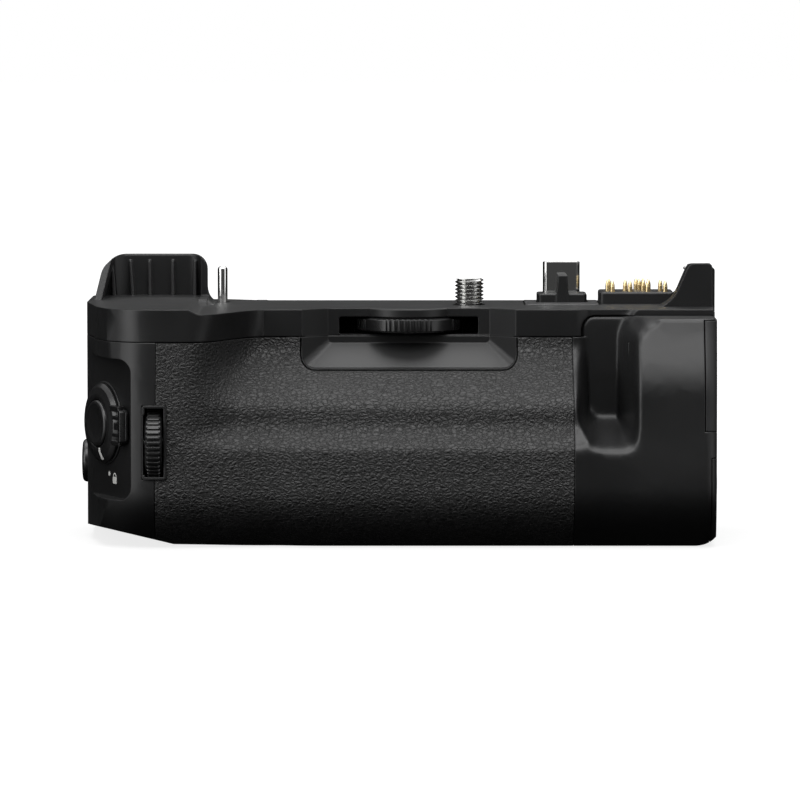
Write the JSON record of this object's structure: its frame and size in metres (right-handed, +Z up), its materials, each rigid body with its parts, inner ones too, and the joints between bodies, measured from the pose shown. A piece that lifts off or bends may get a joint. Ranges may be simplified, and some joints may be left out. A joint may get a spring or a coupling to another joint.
{
  "type": "file transmitter grip",
  "caption": "Battery and file transfer grip that screws under a camera, with a tightening wheel, shutter and dials for upright use, a network port and a sliding battery tray.",
  "frame": {"origin": "where the camera attachment screw's axis crosses the seat that the camera stands on", "axes": "+Z up along the attachment screw, +X to the right as seen from the lens side, +Y towards the back of the camera"},
  "size_m": [0.14, 0.0661, 0.0609],
  "materials": {
    "housing_black": "fine matt black texture",
    "leather_black": "pebbled black leather grain",
    "rubber_black": "smooth satin black rubber",
    "control_black": "satin black",
    "steel": "turned steel",
    "chrome": "bright plated",
    "gold": "gold plated",
    "board_green": "solder resist",
    "pack_grey": "fine moulded grey",
    "lamp_clear": "clear lens",
    "socket_black": "moulded black"
  },
  "bodies": {
    "housing": {"top_cover": "housing_black", "front_cover": "housing_black", "rear_cover": "housing_black", "front_leather": "leather_black", "rear_leather": "leather_black", "base_plate": "housing_black", "housing_screws": "steel", "tripod_bush": "steel", "guide_pin": "chrome", "plug_base": "housing_black", "plug_bezel": "housing_black", "plug_shell": "chrome", "contact_block": "housing_black", "contact_board": "board_green", "circuit_board": "board_green", "network_socket": "socket_black", "charging_socket": "steel", "cover_hinge_pin": "steel", "battery_contacts": "gold", "shutter_ring": "housing_black", "front_dial_axle": "steel", "rear_dial_axle": "steel", "thrust_washer": "steel", "stick_ring": "housing_black", "tether_eyelet": "steel", "status_lamps": "lamp_clear", "dial_frame": "housing_black"},
    "wheel": {"tightening_wheel": "control_black", "wheel_gear": "control_black", "wheel_axle": "steel"},
    "screw": {"attachment_screw": "steel", "screw_pinion": "steel"},
    "contacts": {"contact_pins": "gold"},
    "lock_lever": {"lock_lever": "control_black"},
    "shutter": {"shutter_button": "control_black"},
    "front_dial": {"front_dial": "control_black"},
    "rear_dial": {"rear_dial": "control_black"},
    "side_button": {"side_button": "control_black"},
    "focus_button": {"focus_button": "control_black"},
    "menu_button": {"menu_button": "control_black"},
    "lock_button": {"lock_button": "control_black"},
    "focus_stick": {"focus_stick": "rubber_black", "stick_pivot": "steel"},
    "terminal_cover": {"terminal_cover": "rubber_black"},
    "tray": {"battery_tray": "pack_grey", "battery_left": "pack_grey", "battery_right": "pack_grey", "tray_cap": "housing_black"},
    "latch": {"latch_knob": "control_black", "latch_cam": "steel"}
  },
  "joints": [
    {"name": "wheel_turn", "type": "hinge", "parent": "housing", "child": "wheel", "pos_m": [-0.0134, -0.0078, 0], "axis": [0, 0, 1], "continuous": true},
    {"name": "screw_turn", "type": "hinge", "parent": "housing", "child": "screw", "pos_m": [0, 0, 0], "axis": [0, 0, 1], "continuous": true},
    {"name": "contacts_press", "type": "slide", "parent": "housing", "child": "contacts", "axis": [0, 0, -1], "range_m": [0, 0.001], "stiffness_N_per_m": 400, "springref_m": -0.0005},
    {"name": "lock_turn", "type": "hinge", "parent": "housing", "child": "lock_lever", "pos_m": [-0.079, -0.0257, -0.0242], "axis": [-0.891, -0.454, 0], "range_deg": [0, 15]},
    {"name": "shutter_press", "type": "slide", "parent": "housing", "child": "shutter", "axis": [0.891, 0.454, 0], "range_m": [0, 0.0012], "stiffness_N_per_m": 800, "springref_m": -0.0006},
    {"name": "front_dial_turn", "type": "hinge", "parent": "housing", "child": "front_dial", "pos_m": [-0.0681, -0.0347, -0.0279], "axis": [1, 0, 0], "continuous": true},
    {"name": "rear_dial_turn", "type": "hinge", "parent": "housing", "child": "rear_dial", "pos_m": [-0.0681, 0.0154, -0.015], "axis": [1, 0, 0], "continuous": true},
    {"name": "side_press", "type": "slide", "parent": "housing", "child": "side_button", "axis": [1, 0, 0], "range_m": [0, 0.0006], "stiffness_N_per_m": 800, "springref_m": -0.0003},
    {"name": "focus_press", "type": "slide", "parent": "housing", "child": "focus_button", "axis": [0, -1, 0], "range_m": [0, 0.0006], "stiffness_N_per_m": 800, "springref_m": -0.0003},
    {"name": "menu_press", "type": "slide", "parent": "housing", "child": "menu_button", "axis": [0, -1, 0], "range_m": [0, 0.0006], "stiffness_N_per_m": 800, "springref_m": -0.0003},
    {"name": "lock_press", "type": "slide", "parent": "housing", "child": "lock_button", "axis": [0, -1, 0], "range_m": [0, 0.0006], "stiffness_N_per_m": 800, "springref_m": -0.0003},
    {"name": "stick_tilt", "type": "hinge", "parent": "housing", "child": "focus_stick", "pos_m": [-0.0445, 0.0125, -0.0275], "axis": [1, 0, 0], "range_deg": [-7, 7], "stiffness_Nm_per_rad": 0.02},
    {"name": "cover_swing", "type": "hinge", "parent": "housing", "child": "terminal_cover", "pos_m": [0.05245, 0.001, 0], "axis": [0, 0, 1], "range_deg": [0, 90]},
    {"name": "tray_slide", "type": "slide", "parent": "housing", "child": "tray", "axis": [1, 0, 0], "range_m": [0, 0.112]},
    {"name": "latch_turn", "type": "hinge", "parent": "tray", "child": "latch", "pos_m": [0.05165, -0.00525, -0.039], "axis": [1, 0, 0], "range_deg": [0, 90]}
  ],
  "couplings": [
    {"joint": "screw_turn", "follows": "wheel_turn", "ratio": -1.5833}
  ]
}
